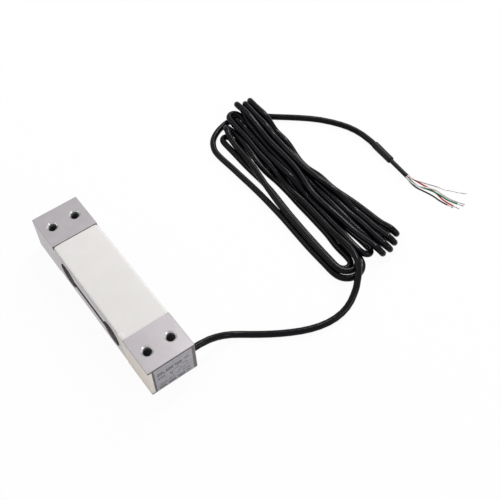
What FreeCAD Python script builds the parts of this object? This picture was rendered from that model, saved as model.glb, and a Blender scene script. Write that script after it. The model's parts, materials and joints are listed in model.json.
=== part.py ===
import FreeCAD, Part
import math
import os

os.makedirs("parts", exist_ok=True)

# Single point load cell: a machined aluminium beam with a double-hole spring
# section, strain gauges under white silicone, and a shielded four-core cable.
# Frame: origin under the middle of the beam, X along the beam with the cable
# end at +X, Y across it with the cable leaving at +Y, Z up. Millimetres.

V = FreeCAD.Vector
X_AXIS = V(1, 0, 0)
Y_AXIS = V(0, 1, 0)
Z_AXIS = V(0, 0, 1)
PAST = 1.0                      # how far a cutting shape runs past a face

# Beam
LENGTH = 150.0
WIDTH = 35.0
HEIGHT = 28.5
PAD_LENGTH = 29.5               # flat mounting pad at each end, top and bottom
RECESS_DEPTH = 2.0              # how far the gauge faces lie below the pads
EDGE_CHAMFER = 0.35

# Spring section: two round lobes joined by a slot, right through along Y
LOBE_RADIUS = 9.5
LOBE_SPACING = 57.0
SLOT_HEIGHT = 6.3

# Mounting holes, tapped M8
HOLE_DRILL_RADIUS = 3.4
HOLE_MOUTH_RADIUS = 4.15
HOLE_END_DISTANCE = 14.0
HOLE_SPACING = 17.5

# Wiring pocket in the -Y side, open at the +X end
POCKET_DEPTH = 2.7
POCKET_LENGTH = 35.6            # from the +X end to the top of its slanted end
POCKET_SLANT = 5.8              # how much shorter it is at its bottom edge
TOP_LIP = 1.5
BOTTOM_LIP = 1.8

# Cable entry: a bore through the width, with a seal in its mouth
BORE_RADIUS = 2.6
BORE_END_DISTANCE = 5.5
SEAL_RADIUS = 3.3
SEAL_DEPTH = 4.0
INNER_CABLE_LENGTH = 21.5       # jacket inside the beam, behind the seal
SEALANT_LENGTH = 3.0

# Potting
POTTING_BELOW_PAD = 0.8
POTTING_SIDE_GAP = 0.15
POTTING_CORNER_RADIUS = 3.0
POTTING_EDGE_RADIUS = 0.7

# Strain gauges, link boards and their wires
GAUGE_LENGTH = 12.0
GAUGE_WIDTH = 7.0
GAUGE_THICKNESS = 0.3
LINK_BOARD_LENGTH = 12.0
LINK_BOARD_WIDTH = 8.0
BOARD_THICKNESS = 0.6
JUMPER_RADIUS = 0.2
JUMPER_SPACING = 3.0
WIRE_LIFT = 0.12                # silicone under the wires on the gauge faces
LEAD_RADIUS = 0.4
LEAD_BEND_RADIUS = 1.2
LEAD_START_X = -2.0
TOP_LEAD_SIDE_GAP = 5.6         # between the link board and the long run
BOTTOM_LEAD_SIDE_GAP = 3.4
WIRE_HOLE_INSET = 1.7           # from the pad's inner edge
WIRE_HOLE_RADIUS = 1.1
TOP_LEAD_DROP = 10.0
BOTTOM_LEAD_DROP = 7.0

# Bridge board in the wiring pocket
BRIDGE_BOARD_LENGTH = 18.0
BRIDGE_BOARD_HEIGHT = 17.0
BRIDGE_BOARD_END_DISTANCE = 10.5
LEAD_OVERLAP = 2.0              # how far a lead lies on the board it is soldered to
RESISTOR_LENGTH = 3.2
RESISTOR_WIDTH = 1.6
RESISTOR_HEIGHT = 0.6
RESISTOR_SPACING = 4.0

# Rating label on the +X end
LABEL_THICKNESS = 0.15
LABEL_WIDTH = 28.6
LABEL_HEIGHT = 27.0
LABEL_SHIFT_Y = 0.5
LABEL_CORNER_RADIUS = 0.8

# Cable
CABLE_RADIUS = 2.4
INNER_CORE_RADIUS = 0.38
INNER_CORE_PITCH = 0.9
INNER_CORE_STAGGER = 0.5
CORE_RADIUS = 0.5
CORE_TIP_RADIUS = 0.36
CORE_TIP_LENGTH = 4.7
DRAIN_RADIUS = 0.4
SLEEVE_RADIUS = 2.95
SLEEVE_LENGTH = 20.0
SLEEVE_JACKET_LENGTH = 7.5      # how far the jacket reaches into the sleeve
THIN_SLEEVE_RADIUS = 1.8
THIN_SLEEVE_BORE = 1.42
THIN_SLEEVE_LENGTH = 31.8       # its first part lies inside the large sleeve
CORE_TUCK = 3.0                 # how far the cores reach into the thin sleeve
CORE_RING_RADIUS = 0.87

# What the sizes above give
END_X = LENGTH / 2
SIDE_Y = WIDTH / 2
MID_Z = HEIGHT / 2
RECESS_END_X = END_X - PAD_LENGTH
TOP_FLOOR = HEIGHT - RECESS_DEPTH
HOLE_X = END_X - HOLE_END_DISTANCE
LOBE_X = LOBE_SPACING / 2
POCKET_FLOOR_Y = -SIDE_Y + POCKET_DEPTH
POCKET_START_X = END_X - POCKET_LENGTH
BORE_X = END_X - BORE_END_DISTANCE
BOARD_FACE_Y = POCKET_FLOOR_Y - BOARD_THICKNESS
BRIDGE_BOARD_X1 = END_X - BRIDGE_BOARD_END_DISTANCE
BRIDGE_BOARD_X0 = BRIDGE_BOARD_X1 - BRIDGE_BOARD_LENGTH
BRIDGE_BOARD_TOP = MID_Z + BRIDGE_BOARD_HEIGHT / 2
SEAL_INNER_Y = SIDE_Y - SEAL_DEPTH
INNER_CABLE_END_Y = SEAL_INNER_Y - INNER_CABLE_LENGTH

# The cable's way over the bench, hand laid: the lead from the beam to the hank
LEAD_ROUTE = [
    V(BORE_X, SEAL_INNER_Y, MID_Z),
    V(BORE_X, 25.5, MID_Z),
    V(68.6, 37.0, 8.2),
    V(70.2, 47.5, 2.8),
    V(78.2, 58.0, 2.4),
    V(86.2, 69.0, 2.4),
    V(93.4, 80.5, 2.4),
    V(99.3, 92.5, 2.4),
    V(102.6, 105.0, 2.4),
    V(102.6, 117.0, 2.7),
    V(99.8, 127.0, 4.4),
    V(94.6, 135.6, 7.2),
    V(87.4, 143.4, 8.8),
]

# The tail from the hank to the sleeves, which share one straight line
SLEEVE_START = V(0.6, 235.6, SLEEVE_RADIUS)
SLEEVE_END = V(39.8, 233.4, SLEEVE_RADIUS)
SLEEVE_APPROACH = 6.3           # straight cable before the large sleeve
TAIL_ROUTE = [
    V(-79.6, 182.6, 2.4),
    V(-70.0, 193.5, 2.4),
    V(-58.6, 207.0, 2.4),
    V(-46.4, 219.6, 2.4),
    V(-31.6, 229.6, 2.4),
    V(-20.0, 234.2, 2.6),
]

# The free cores: place in the ring at the sleeve's mouth in degrees, and the
# way to the insulation's end, where the bare tip goes straight on
CORE_ROUTES = {
    "red": (20, [V(45.6, 235.4, 2.7), V(52.0, 238.2, 1.2), V(59.0, 240.8, 0.5),
                 V(66.0, 240.9, 0.5), V(73.0, 240.2, 0.5), V(80.2, 242.4, 0.5)]),
    "green": (308, [V(45.4, 233.5, 1.7), V(51.0, 234.7, 0.8), V(56.5, 238.0, 0.9),
                    V(62.5, 239.7, 1.9), V(68.5, 241.2, 1.9), V(74.5, 242.9, 0.6),
                    V(80.8, 246.2, 0.5)]),
    "white": (164, [V(45.6, 231.9, 2.6), V(52.0, 233.6, 2.4), V(57.4, 238.2, 2.7),
                    V(63.0, 241.5, 3.0), V(69.0, 243.0, 1.7), V(75.0, 245.0, 0.6),
                    V(80.2, 247.8, 0.5)]),
    "black": (236, [V(45.2, 232.3, 1.3), V(51.0, 232.8, 0.5), V(57.5, 235.2, 0.5),
                    V(64.5, 237.3, 0.5), V(71.5, 237.9, 0.5), V(77.0, 239.7, 0.5)]),
}
DRAIN_ANGLE = 92
DRAIN_ROUTE = [
    V(44.8, 234.3, 3.9), V(50.4, 237.4, 3.3), V(55.2, 242.0, 1.5), V(60.5, 246.4, 0.4),
    V(65.8, 248.6, 0.4), V(69.2, 252.0, 0.4), V(74.2, 255.0, 0.4), V(77.8, 258.6, 0.4),
]

# The hank: flat loops on the bench, turns piled on them in three layers, and
# the turns' ends at +X that the lead passes over. Each outline has points and
# radii, and each layer its height above the bench.
HANK_FLOOR = [(V(-91, 131, 0), 20), (V(91, 131, 0), 12), (V(91, 160, 0), 12), (V(-91, 160, 0), 4)]
HANK_LOOP_GAP = [(V(-46, 149.6, 0), 0.6), (V(8, 144.8, 0), 80), (V(76.4, 140.2, 0), 3.4),
                 (V(76.4, 149, 0), 3.4)]
HANK_TAIL_GAP = [(V(-80, 137.2, 0), 1), (V(2, 138.4, 0), 0.3), (V(-72, 141.2, 0), 1)]
HANK_PILE = [
    (V(-94.6, 156, 0), 10), (V(-50, 150.6, 0), 90), (V(86, 150.6, 0), 8), (V(87.4, 174, 0), 12),
    (V(83, 194, 0), 6), (V(20, 182, 0), 120), (V(-40, 182.4, 0), 120), (V(-94.6, 188, 0), 7),
]
HANK_CREST = [
    (V(-93.8, 163, 0), 6), (V(-20, 157.6, 0), 90), (V(50, 160, 0), 90), (V(85, 163, 0), 6),
    (V(83, 187, 0), 6), (V(20, 179, 0), 90), (V(-40, 178, 0), 90), (V(-93.8, 186, 0), 7),
]
HANK_TIPS = [(V(-93, 164.4, 0), 5), (V(-46, 166.4, 0), 3), (V(-46, 177, 0), 3),
             (V(-93, 184, 0), 5)]
HANK_ENDS = [(V(77, 131.2, 0), 3), (V(90.8, 131.2, 0), 9), (V(90.8, 160, 0), 9), (V(77, 160, 0), 3)]
HANK_PILE_HEIGHT = 9.4
HANK_CREST_HEIGHT = 13.2
HANK_TIPS_HEIGHT = 16.8
HANK_ENDS_HEIGHT = 11.6
HANK_EDGE_RADIUS = 2.2
HANK_SEAT_CLEARANCE = 0.4


def export(name, shape):
    shape.exportStep("parts/%s.step" % name)


def box(low, high):
    size = high - low
    return Part.makeBox(size.x, size.y, size.z, low)


def rod(start, end, radius):
    along = end - start
    return Part.makeCylinder(radius, along.Length, start, along)


def mirrored_z(shape):
    """The same shape upside down about the beam's middle height."""
    return shape.mirror(V(0, 0, MID_Z), Z_AXIS)


def unit(vector):
    return vector * (1.0 / vector.Length)


def corner_arc(before, corner, after, share=0.45, radius=None):
    """Ends, middle and radius of the arc that rounds one corner of a route."""
    back = unit(before - corner)
    ahead = unit(after - corner)
    half_turn = (math.pi - back.getAngle(ahead)) / 2
    shorter = min((before - corner).Length, (after - corner).Length)
    reach = share * shorter if radius is None else radius * math.tan(half_turn)
    radius = reach / math.tan(half_turn)
    inward = unit(back + ahead)
    middle = corner + inward * (radius / math.cos(half_turn) - radius)
    return corner + back * reach, middle, corner + ahead * reach, radius


def route_wire(points, radius=None):
    """Straight runs joined by tangent arcs, with the radius of each arc."""
    edges = []
    radii = []
    here = points[0]
    for before, corner, after in zip(points, points[1:], points[2:]):
        enter, middle, leave, bend = corner_arc(before, corner, after, radius=radius)
        edges.append(Part.LineSegment(here, enter).toShape())
        edges.append(Part.Arc(enter, middle, leave).toShape())
        radii.append(bend)
        here = leave
    edges.append(Part.LineSegment(here, points[-1]).toShape())
    return Part.Wire(edges), radii


def tube(points, tube_radius, bend_radius=None):
    wire, radii = route_wire(points, bend_radius)
    circle = Part.Circle(points[0], points[1] - points[0], tube_radius)
    profile = Part.Wire([circle.toShape()])
    solid = wire.makePipeShell([profile], True, False)
    return solid, wire.Length, radii


def cord(name, points, radius):
    """A cord's tube, exported, with its radii and its volume against its section."""
    solid, length, radii = tube(points, radius)
    ratio = solid.Volume / (math.pi * radius ** 2 * length)
    smallest = min(radii) / (2 * radius)
    print("%s: length %.1f mm, volume/section %.4f, smallest radius %.1f diameters, radii %s"
          % (name, length, ratio, smallest, " ".join("%.0f" % r for r in radii)))
    export(name, solid)
    return solid


def rounded_outline(corners, z):
    """A face at height z; corners holds each corner's place and its radius."""
    count = len(corners)
    arcs = []
    for i, (corner, radius) in enumerate(corners):
        before = corners[i - 1][0]
        after = corners[(i + 1) % count][0]
        arcs.append(corner_arc(before, corner, after, radius=radius))
    edges = []
    for i, (enter, middle, leave, _) in enumerate(arcs):
        edges.append(Part.Arc(enter, middle, leave).toShape())
        edges.append(Part.LineSegment(leave, arcs[(i + 1) % count][0]).toShape())
    wire = Part.Wire(edges)
    wire.translate(V(0, 0, z))
    return Part.Face(wire)


def rounded_block(corners, z, height, top_radius=0.0):
    """A rounded outline raised by height, with its top rim rounded over."""
    block = rounded_outline(corners, z).extrude(V(0, 0, height))
    if top_radius > 0:
        top = z + height
        rim = [e for e in block.Edges if min(v.Z for v in e.Vertexes) > top - 0.01]
        block = block.makeFillet(top_radius, rim)
    return block


# ---------------------------------------------------------------- the beam

def spring_cavity():
    """Two lobes and a slot, right through the width."""
    cavity = box(V(-LOBE_X, -SIDE_Y - PAST, MID_Z - SLOT_HEIGHT / 2),
                 V(LOBE_X, SIDE_Y + PAST, MID_Z + SLOT_HEIGHT / 2))
    for x in (-LOBE_X, LOBE_X):
        lobe = rod(V(x, -SIDE_Y - PAST, MID_Z), V(x, SIDE_Y + PAST, MID_Z), LOBE_RADIUS)
        cavity = cavity.fuse(lobe)
    return cavity


def mounting_hole(x, y):
    """A tapped hole's core with a 45 degree countersink at both ends."""
    sink = HOLE_MOUTH_RADIUS - HOLE_DRILL_RADIUS
    hole = rod(V(x, y, -PAST), V(x, y, HEIGHT + PAST), HOLE_DRILL_RADIUS)
    bottom = Part.makeCone(HOLE_MOUTH_RADIUS, HOLE_DRILL_RADIUS, sink, V(x, y, 0))
    return hole.fuse(bottom).fuse(mirrored_z(bottom))


def pocket_space(y_outer):
    """The wiring pocket's space, from its floor out to y_outer."""
    top = HEIGHT - TOP_LIP
    outline = [
        V(POCKET_START_X, 0, top),
        V(POCKET_START_X + POCKET_SLANT, 0, BOTTOM_LIP),
        V(END_X + PAST, 0, BOTTOM_LIP),
        V(END_X + PAST, 0, top),
    ]
    wire = Part.makePolygon(outline + outline[:1])
    space = Part.Face(wire).extrude(V(0, POCKET_FLOOR_Y - y_outer, 0))
    space.translate(V(0, y_outer, 0))
    return space


def cable_bore():
    bore = rod(V(BORE_X, POCKET_FLOOR_Y - PAST, MID_Z), V(BORE_X, SIDE_Y, MID_Z), BORE_RADIUS)
    mouth = rod(V(BORE_X, SEAL_INNER_Y, MID_Z), V(BORE_X, SIDE_Y + PAST, MID_Z), SEAL_RADIUS)
    return bore.fuse(mouth)


def wire_hole_xy():
    """Where the bottom gauges' lead comes up through the beam."""
    return RECESS_END_X - WIRE_HOLE_INSET, -LINK_BOARD_WIDTH / 2 - BOTTOM_LEAD_SIDE_GAP


def beam():
    block = box(V(-END_X, -SIDE_Y, 0), V(END_X, SIDE_Y, HEIGHT))
    block = block.makeChamfer(EDGE_CHAMFER, block.Edges)
    recess = box(V(-RECESS_END_X, -SIDE_Y - PAST, TOP_FLOOR),
                 V(RECESS_END_X, SIDE_Y + PAST, HEIGHT + PAST))
    x, y = wire_hole_xy()
    cuts = [recess, mirrored_z(recess), spring_cavity(), cable_bore(),
            pocket_space(-SIDE_Y - PAST),
            rod(V(x, y, RECESS_DEPTH - PAST), V(x, y, TOP_FLOOR + PAST), WIRE_HOLE_RADIUS)]
    for hole_x in (-HOLE_X, HOLE_X):
        for hole_y in (-HOLE_SPACING / 2, HOLE_SPACING / 2):
            cuts.append(mounting_hole(hole_x, hole_y))
    for cut in cuts:
        block = block.cut(cut)
    return block


# ---------------------------------------------------------------- the bridge circuit

def gauge(x):
    """A foil gauge on its carrier, on the gauge face over a lobe."""
    return box(V(x - GAUGE_LENGTH / 2, -GAUGE_WIDTH / 2, TOP_FLOOR),
               V(x + GAUGE_LENGTH / 2, GAUGE_WIDTH / 2, TOP_FLOOR + GAUGE_THICKNESS))


def link_board():
    return box(V(-LINK_BOARD_LENGTH / 2, -LINK_BOARD_WIDTH / 2, TOP_FLOOR),
               V(LINK_BOARD_LENGTH / 2, LINK_BOARD_WIDTH / 2, TOP_FLOOR + BOARD_THICKNESS))


def jumpers():
    """Four bare wires, two from each gauge to the link board."""
    wires = []
    z = TOP_FLOOR + WIRE_LIFT + JUMPER_RADIUS
    for side in (-1, 1):
        for y in (-JUMPER_SPACING / 2, JUMPER_SPACING / 2):
            wires.append(rod(V(side * LINK_BOARD_LENGTH / 2, y, z),
                             V(side * (LOBE_X - GAUGE_LENGTH / 2), y, z), JUMPER_RADIUS))
    return Part.Compound(wires)


def lead_onto_board(place, drop):
    """The last stretch of a lead: over the edge, down and on to the bridge board.

    Both leads go over the edge between the pocket's end and the pad, at thirds.
    """
    y = BOARD_FACE_Y - LEAD_RADIUS
    x = POCKET_START_X + (RECESS_END_X - POCKET_START_X) * place / 3
    return [V(x, y, TOP_FLOOR + WIRE_LIFT + LEAD_RADIUS),
            V(BRIDGE_BOARD_X0 + LEAD_OVERLAP, y, HEIGHT - drop)]


def top_lead():
    z = TOP_FLOOR + WIRE_LIFT + LEAD_RADIUS
    over_edge, on_board = lead_onto_board(1, TOP_LEAD_DROP)
    edge_y = -LINK_BOARD_WIDTH / 2
    run_y = edge_y - TOP_LEAD_SIDE_GAP
    points = [V(LEAD_START_X, edge_y, z), V(LEAD_START_X, run_y, z), V(over_edge.x, run_y, z),
              over_edge, on_board]
    return tube(points, LEAD_RADIUS, LEAD_BEND_RADIUS)[0]


def bottom_lead():
    low = RECESS_DEPTH - WIRE_LIFT - LEAD_RADIUS
    over_edge, on_board = lead_onto_board(2, BOTTOM_LEAD_DROP)
    x, run_y = wire_hole_xy()
    points = [V(LEAD_START_X, -LINK_BOARD_WIDTH / 2, low), V(LEAD_START_X, run_y, low),
              V(x, run_y, low), V(x, run_y, over_edge.z), over_edge, on_board]
    return tube(points, LEAD_RADIUS, LEAD_BEND_RADIUS)[0]


def bridge_board():
    return box(V(BRIDGE_BOARD_X0, BOARD_FACE_Y, MID_Z - BRIDGE_BOARD_HEIGHT / 2),
               V(BRIDGE_BOARD_X1, POCKET_FLOOR_Y, BRIDGE_BOARD_TOP))


def resistor(step):
    """A chip resistor on the bridge board, step places up from its middle."""
    x = (BRIDGE_BOARD_X0 + BRIDGE_BOARD_X1) / 2
    z = MID_Z + step * RESISTOR_SPACING
    return box(V(x - RESISTOR_LENGTH / 2, BOARD_FACE_Y - RESISTOR_HEIGHT, z - RESISTOR_WIDTH / 2),
               V(x + RESISTOR_LENGTH / 2, BOARD_FACE_Y, z + RESISTOR_WIDTH / 2))


# ---------------------------------------------------------------- cable entry

def inner_cable():
    return rod(V(BORE_X, SEAL_INNER_Y, MID_Z), V(BORE_X, INNER_CABLE_END_Y, MID_Z), CABLE_RADIUS)


def seal_ring():
    ring = rod(V(BORE_X, SEAL_INNER_Y, MID_Z), V(BORE_X, SIDE_Y, MID_Z), SEAL_RADIUS)
    return ring.cut(rod(V(BORE_X, SEAL_INNER_Y - PAST, MID_Z),
                        V(BORE_X, SIDE_Y + PAST, MID_Z), CABLE_RADIUS))


def inner_core(place):
    """A core from the jacket's end to the bridge board; place is 0 to 3, bottom to top."""
    x = BORE_X + INNER_CORE_STAGGER * (-1) ** place
    z = MID_Z + (place - 1.5) * INNER_CORE_PITCH
    y = BOARD_FACE_Y - INNER_CORE_RADIUS
    points = [V(x, INNER_CABLE_END_Y, z), V(x, y, z), V(BRIDGE_BOARD_X1 - LEAD_OVERLAP, y, z)]
    return tube(points, INNER_CORE_RADIUS, LEAD_BEND_RADIUS)[0]


def bore_sealant(cores):
    plug = rod(V(BORE_X, INNER_CABLE_END_Y, MID_Z),
               V(BORE_X, INNER_CABLE_END_Y - SEALANT_LENGTH, MID_Z), BORE_RADIUS)
    for core in cores:
        plug = plug.cut(core)
    return plug


# ---------------------------------------------------------------- potting and label

def top_potting(inner):
    """The white silicone over the gauges, up to just below the pads."""
    x = RECESS_END_X
    y = SIDE_Y - POTTING_SIDE_GAP
    corners = [(V(across, along, 0), POTTING_CORNER_RADIUS)
               for across, along in ((-x, -y), (x, -y), (x, y), (-x, y))]
    layer = rounded_block(corners, TOP_FLOOR, RECESS_DEPTH - POTTING_BELOW_PAD,
                          POTTING_EDGE_RADIUS)
    for piece in inner:
        layer = layer.cut(piece)
    return layer


def side_potting(inner):
    """The silicone that fills the wiring pocket, flush with the beam's side."""
    fill = pocket_space(-SIDE_Y)
    beyond = box(V(END_X, -SIDE_Y - PAST, -PAST), V(END_X + 2 * PAST, SIDE_Y, HEIGHT + PAST))
    over_recess = box(V(-RECESS_END_X, -SIDE_Y - PAST, TOP_FLOOR),
                      V(RECESS_END_X, SIDE_Y, HEIGHT + PAST))
    fill = fill.cut(beyond).cut(over_recess).cut(mirrored_z(over_recess))
    for piece in inner:
        fill = fill.cut(piece)
    return fill


def label():
    y = LABEL_WIDTH / 2
    z = LABEL_HEIGHT / 2
    corners = [(V(up, across, 0), LABEL_CORNER_RADIUS)
               for up, across in ((-z, -y), (z, -y), (z, y), (-z, y))]
    sheet = rounded_block(corners, 0, LABEL_THICKNESS)
    sheet.rotate(V(0, 0, 0), Y_AXIS, 90)
    sheet.translate(V(END_X, LABEL_SHIFT_Y, MID_Z))
    return sheet


# ---------------------------------------------------------------- cable outside

def hank():
    """The coiled part of the cable: long flat loops beside and on each other."""
    coil = rounded_block(HANK_FLOOR, 0, 2 * CABLE_RADIUS)
    for opening in (HANK_LOOP_GAP, HANK_TAIL_GAP):
        coil = coil.cut(rounded_block(opening, -PAST, 2 * CABLE_RADIUS + 2 * PAST))
    for outline, height in ((HANK_PILE, HANK_PILE_HEIGHT), (HANK_CREST, HANK_CREST_HEIGHT),
                            (HANK_TIPS, HANK_TIPS_HEIGHT)):
        coil = coil.fuse(rounded_block(outline, 0, height, HANK_EDGE_RADIUS))
    coil = coil.fuse(rounded_block(HANK_ENDS, 0, HANK_ENDS_HEIGHT))
    for end, outward in ((LEAD_ROUTE[-1], LEAD_ROUTE[-2]), (TAIL_ROUTE[0], TAIL_ROUTE[1])):
        coil = coil.cut(seat(end, outward))
    return coil


def seat(end, beyond):
    """The room for a tube that ends inside the hank's outline, with a flat bottom."""
    return rod(end, end + (beyond - end) * 3, CABLE_RADIUS + HANK_SEAT_CLEARANCE)


def sleeve_point(distance):
    return SLEEVE_START + unit(SLEEVE_END - SLEEVE_START) * distance


def large_sleeve():
    """Heat-shrink over the jacket's end, shrunk on to the thin sleeve beyond it."""
    body = rod(sleeve_point(0), sleeve_point(SLEEVE_LENGTH), SLEEVE_RADIUS)
    body = body.cut(rod(sleeve_point(-PAST), sleeve_point(SLEEVE_JACKET_LENGTH), CABLE_RADIUS))
    return body.cut(rod(sleeve_point(0), sleeve_point(SLEEVE_LENGTH + PAST), THIN_SLEEVE_RADIUS))


def thin_sleeve():
    start = sleeve_point(SLEEVE_JACKET_LENGTH)
    end = sleeve_point(SLEEVE_JACKET_LENGTH + THIN_SLEEVE_LENGTH)
    body = rod(start, end, THIN_SLEEVE_RADIUS)
    mouth = sleeve_point(SLEEVE_JACKET_LENGTH + THIN_SLEEVE_LENGTH - CORE_TUCK)
    return body.cut(rod(mouth, sleeve_point(SLEEVE_JACKET_LENGTH + THIN_SLEEVE_LENGTH + PAST),
                        THIN_SLEEVE_BORE))


def core_start(angle, ring_radius=CORE_RING_RADIUS):
    """Where a core comes from: its place in the ring inside the thin sleeve."""
    along = unit(SLEEVE_END - SLEEVE_START)
    across = unit(Z_AXIS.cross(along))
    mouth = sleeve_point(SLEEVE_JACKET_LENGTH + THIN_SLEEVE_LENGTH - CORE_TUCK)
    turn = math.radians(angle)
    shift = (across * math.cos(turn) + Z_AXIS * math.sin(turn)) * ring_radius
    return [mouth + shift, mouth + shift + along * (CORE_TUCK + 1.0)]


def build():
    gauges = {"far": gauge(-LOBE_X), "near": gauge(LOBE_X)}
    on_top = list(gauges.values()) + [link_board(), jumpers()]
    below = [mirrored_z(piece) for piece in on_top]
    leads = {"top": top_lead(), "bottom": bottom_lead()}
    board = bridge_board()
    resistors = {"span": resistor(1), "zero": resistor(-1)}
    cores = {name: inner_core(i) for i, name in enumerate(("black", "white", "green", "red"))}
    wiring = list(leads.values())
    in_pocket = wiring + [board] + list(resistors.values()) + list(cores.values())

    export("load_cell_beam", beam())
    for name, shape in gauges.items():
        export("strain_gauge_top_" + name, shape)
        export("strain_gauge_bottom_" + name, mirrored_z(shape))
    export("link_board_top", link_board())
    export("link_board_bottom", mirrored_z(link_board()))
    export("gauge_jumpers_top", jumpers())
    export("gauge_jumpers_bottom", mirrored_z(jumpers()))
    for name, shape in leads.items():
        export("bridge_lead_" + name, shape)
    export("bridge_board", board)
    for name, shape in resistors.items():
        export(name + "_resistor", shape)
    for name, shape in cores.items():
        export("inner_core_" + name, shape)
    export("cable_inner_end", inner_cable())
    export("cable_seal_ring", seal_ring())
    export("bore_sealant", bore_sealant(cores.values()))
    export("top_potting", top_potting(on_top + wiring))
    export("bottom_potting", mirrored_z(top_potting(on_top)).cut(leads["bottom"]))
    export("side_potting", side_potting(in_pocket))
    export("rating_label", label())

    sleeve_run = [sleeve_point(-SLEEVE_APPROACH), sleeve_point(SLEEVE_JACKET_LENGTH)]
    export("cable_hank", hank())
    cord("cable_lead", LEAD_ROUTE, CABLE_RADIUS)
    cord("cable_tail", TAIL_ROUTE + sleeve_run, CABLE_RADIUS)
    export("cable_sleeve_large", large_sleeve())
    export("cable_sleeve_thin", thin_sleeve())
    for name, (angle, route) in CORE_ROUTES.items():
        cord("core_" + name, core_start(angle) + route, CORE_RADIUS)
        tip = route[-1] + unit(route[-1] - route[-2]) * CORE_TIP_LENGTH
        export("core_tip_" + name, rod(route[-1], tip, CORE_TIP_RADIUS))
    cord("shield_drain_wire", core_start(DRAIN_ANGLE) + DRAIN_ROUTE, DRAIN_RADIUS)


build()
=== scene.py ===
import json
import math

import bmesh
import bpy
import numpy as np
from mathutils import Matrix, Vector

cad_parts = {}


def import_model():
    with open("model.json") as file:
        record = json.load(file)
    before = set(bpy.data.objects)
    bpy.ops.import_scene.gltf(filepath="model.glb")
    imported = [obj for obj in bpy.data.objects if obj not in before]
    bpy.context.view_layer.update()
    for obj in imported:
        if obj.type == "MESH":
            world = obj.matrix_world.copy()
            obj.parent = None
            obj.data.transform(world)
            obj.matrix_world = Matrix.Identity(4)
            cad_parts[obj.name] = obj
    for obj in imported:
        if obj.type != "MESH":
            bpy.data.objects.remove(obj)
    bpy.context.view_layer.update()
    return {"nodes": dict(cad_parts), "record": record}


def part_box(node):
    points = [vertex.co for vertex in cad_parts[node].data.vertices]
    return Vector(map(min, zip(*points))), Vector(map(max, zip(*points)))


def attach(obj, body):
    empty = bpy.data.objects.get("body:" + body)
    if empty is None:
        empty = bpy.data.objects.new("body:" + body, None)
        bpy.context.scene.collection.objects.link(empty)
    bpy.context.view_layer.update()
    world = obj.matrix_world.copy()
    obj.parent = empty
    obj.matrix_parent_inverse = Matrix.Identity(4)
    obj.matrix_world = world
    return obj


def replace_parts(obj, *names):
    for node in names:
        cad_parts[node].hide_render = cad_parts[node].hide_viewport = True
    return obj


# The looks of a single point load cell: a milled aluminium beam with silicone
# over its gauges, and its black cable wound in a long flat hank. Sizes are in
# metres, or in millimetres where a name ends in MM. The axes are the part's own.

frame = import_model()
NODES = frame["nodes"]
MM = 0.001

BEAM_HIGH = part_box("load_cell_beam")[1]
BEAM_TOP = BEAM_HIGH[2]
BEAM_END = BEAM_HIGH[0]
BEAM_SIDE = BEAM_HIGH[1]

CABLE_DIAMETER = 0.0048
CORE_DIAMETER = 0.00116
DRAIN_DIAMETER = 0.0008


# ---------------------------------------------------------------- node materials

NOISE_ROUGHNESS = 0.55
# The Mix node's own numbers for its colour sockets: two in, one out.
MIX_A, MIX_B, MIX_RESULT = 6, 7, 2
WIDE_STOPS = (0.3, 0.7)
NARROW_STOPS = (0.35, 0.65)


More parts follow.
